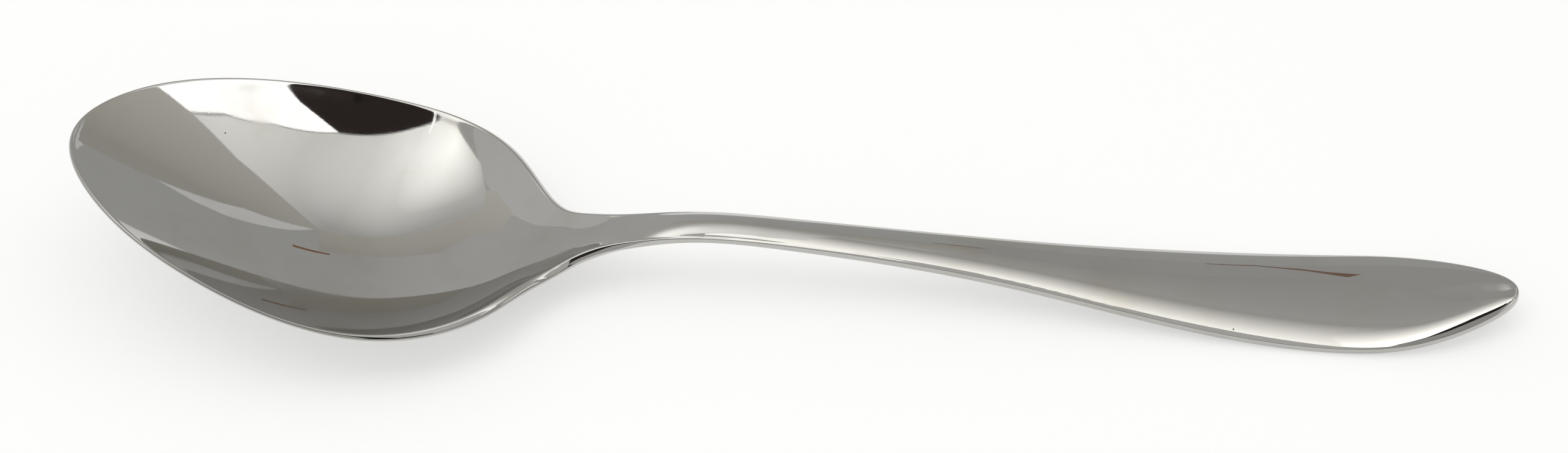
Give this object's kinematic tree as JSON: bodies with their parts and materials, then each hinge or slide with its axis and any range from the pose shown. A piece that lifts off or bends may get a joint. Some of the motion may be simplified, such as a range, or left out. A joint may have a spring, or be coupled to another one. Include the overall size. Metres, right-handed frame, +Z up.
{
  "type": "tablespoon",
  "caption": "One-piece polished steel tablespoon: an egg-shaped bowl, a narrow neck and an arched handle that widens to a rounded end.",
  "frame": {"origin": "on the table, under the middle of the spoon's length and width, with the spoon lying as in the picture on its bowl and on the handle's paddle", "axes": "+X along the spoon from the bowl's tip to the end of the handle, +Y across it, +Z up from the table"},
  "size_m": [0.206, 0.0466, 0.0245],
  "materials": {
    "polished_steel": "mirror polished stainless steel, bare metal with no plating"
  },
  "bodies": {
    "root": {"spoon": "polished_steel"}
  },
  "joints": []
}
